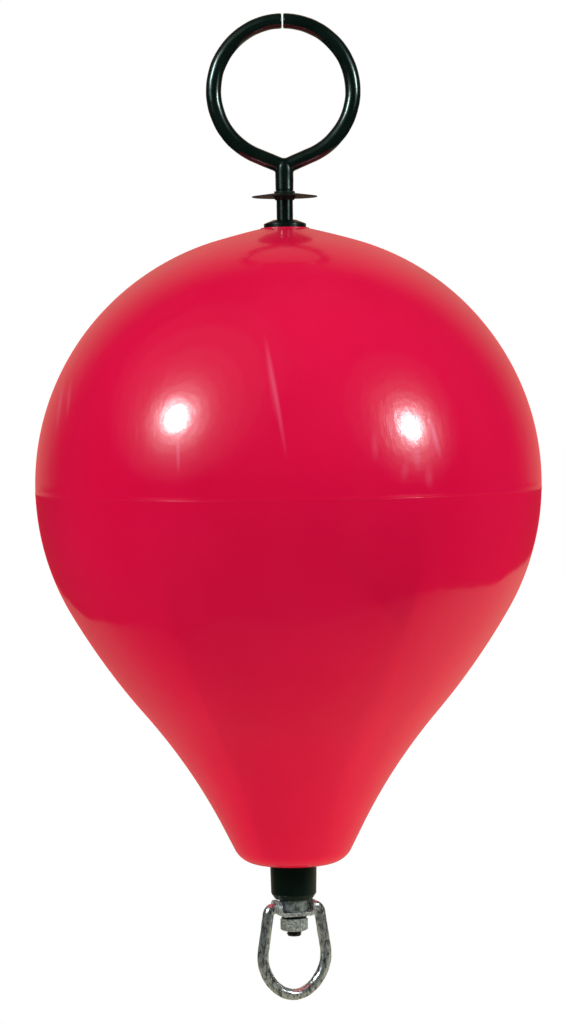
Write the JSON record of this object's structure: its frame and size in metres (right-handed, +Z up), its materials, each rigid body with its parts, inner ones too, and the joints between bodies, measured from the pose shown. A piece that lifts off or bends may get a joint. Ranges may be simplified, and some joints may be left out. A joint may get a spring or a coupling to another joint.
{
  "type": "pear-shaped mooring buoy",
  "caption": "Moulded pear-shaped mooring buoy on a through tube, with a coated pick-up ring on its eye rod and a galvanised swivel bow below for the mooring chain",
  "frame": {"origin": "on the buoy's axis, in the plane of the float's seam, taken as the working waterline", "axes": "+Z up along the rod, +X across the ring as in the picture, +Y away from the viewer"},
  "size_m": [0.3999, 0.3998, 0.7829],
  "materials": {
    "float_red": "smooth moulded red plastic",
    "tube_black": "smooth black plastic",
    "coat_black": "black plastic coat over steel",
    "galvanised": "hot-dip galvanised",
    "bright_steel": "turned steel"
  },
  "bodies": {
    "buoy": {"float_upper": "float_red", "float_lower": "float_red", "through_tube": "tube_black", "top_bush": "tube_black", "bottom_bush": "tube_black", "rod": "coat_black", "guard_disc": "coat_black", "ring_eye": "coat_black", "spacer_collar": "bright_steel", "thrust_washer": "tube_black", "hex_nut": "galvanised"},
    "yoke": {"swivel_yoke": "galvanised"},
    "bow": {"swivel_bow": "galvanised"}
  },
  "joints": [
    {"name": "swivel", "type": "hinge", "parent": "buoy", "child": "yoke", "pos_m": [0, 0, -0.33847], "axis": [0, 0, 1], "continuous": true},
    {"name": "bow_swing", "type": "hinge", "parent": "yoke", "child": "bow", "pos_m": [0, 0, -0.33227], "axis": [0.9397, 0.342, 0], "range_deg": [-120, 120]}
  ]
}
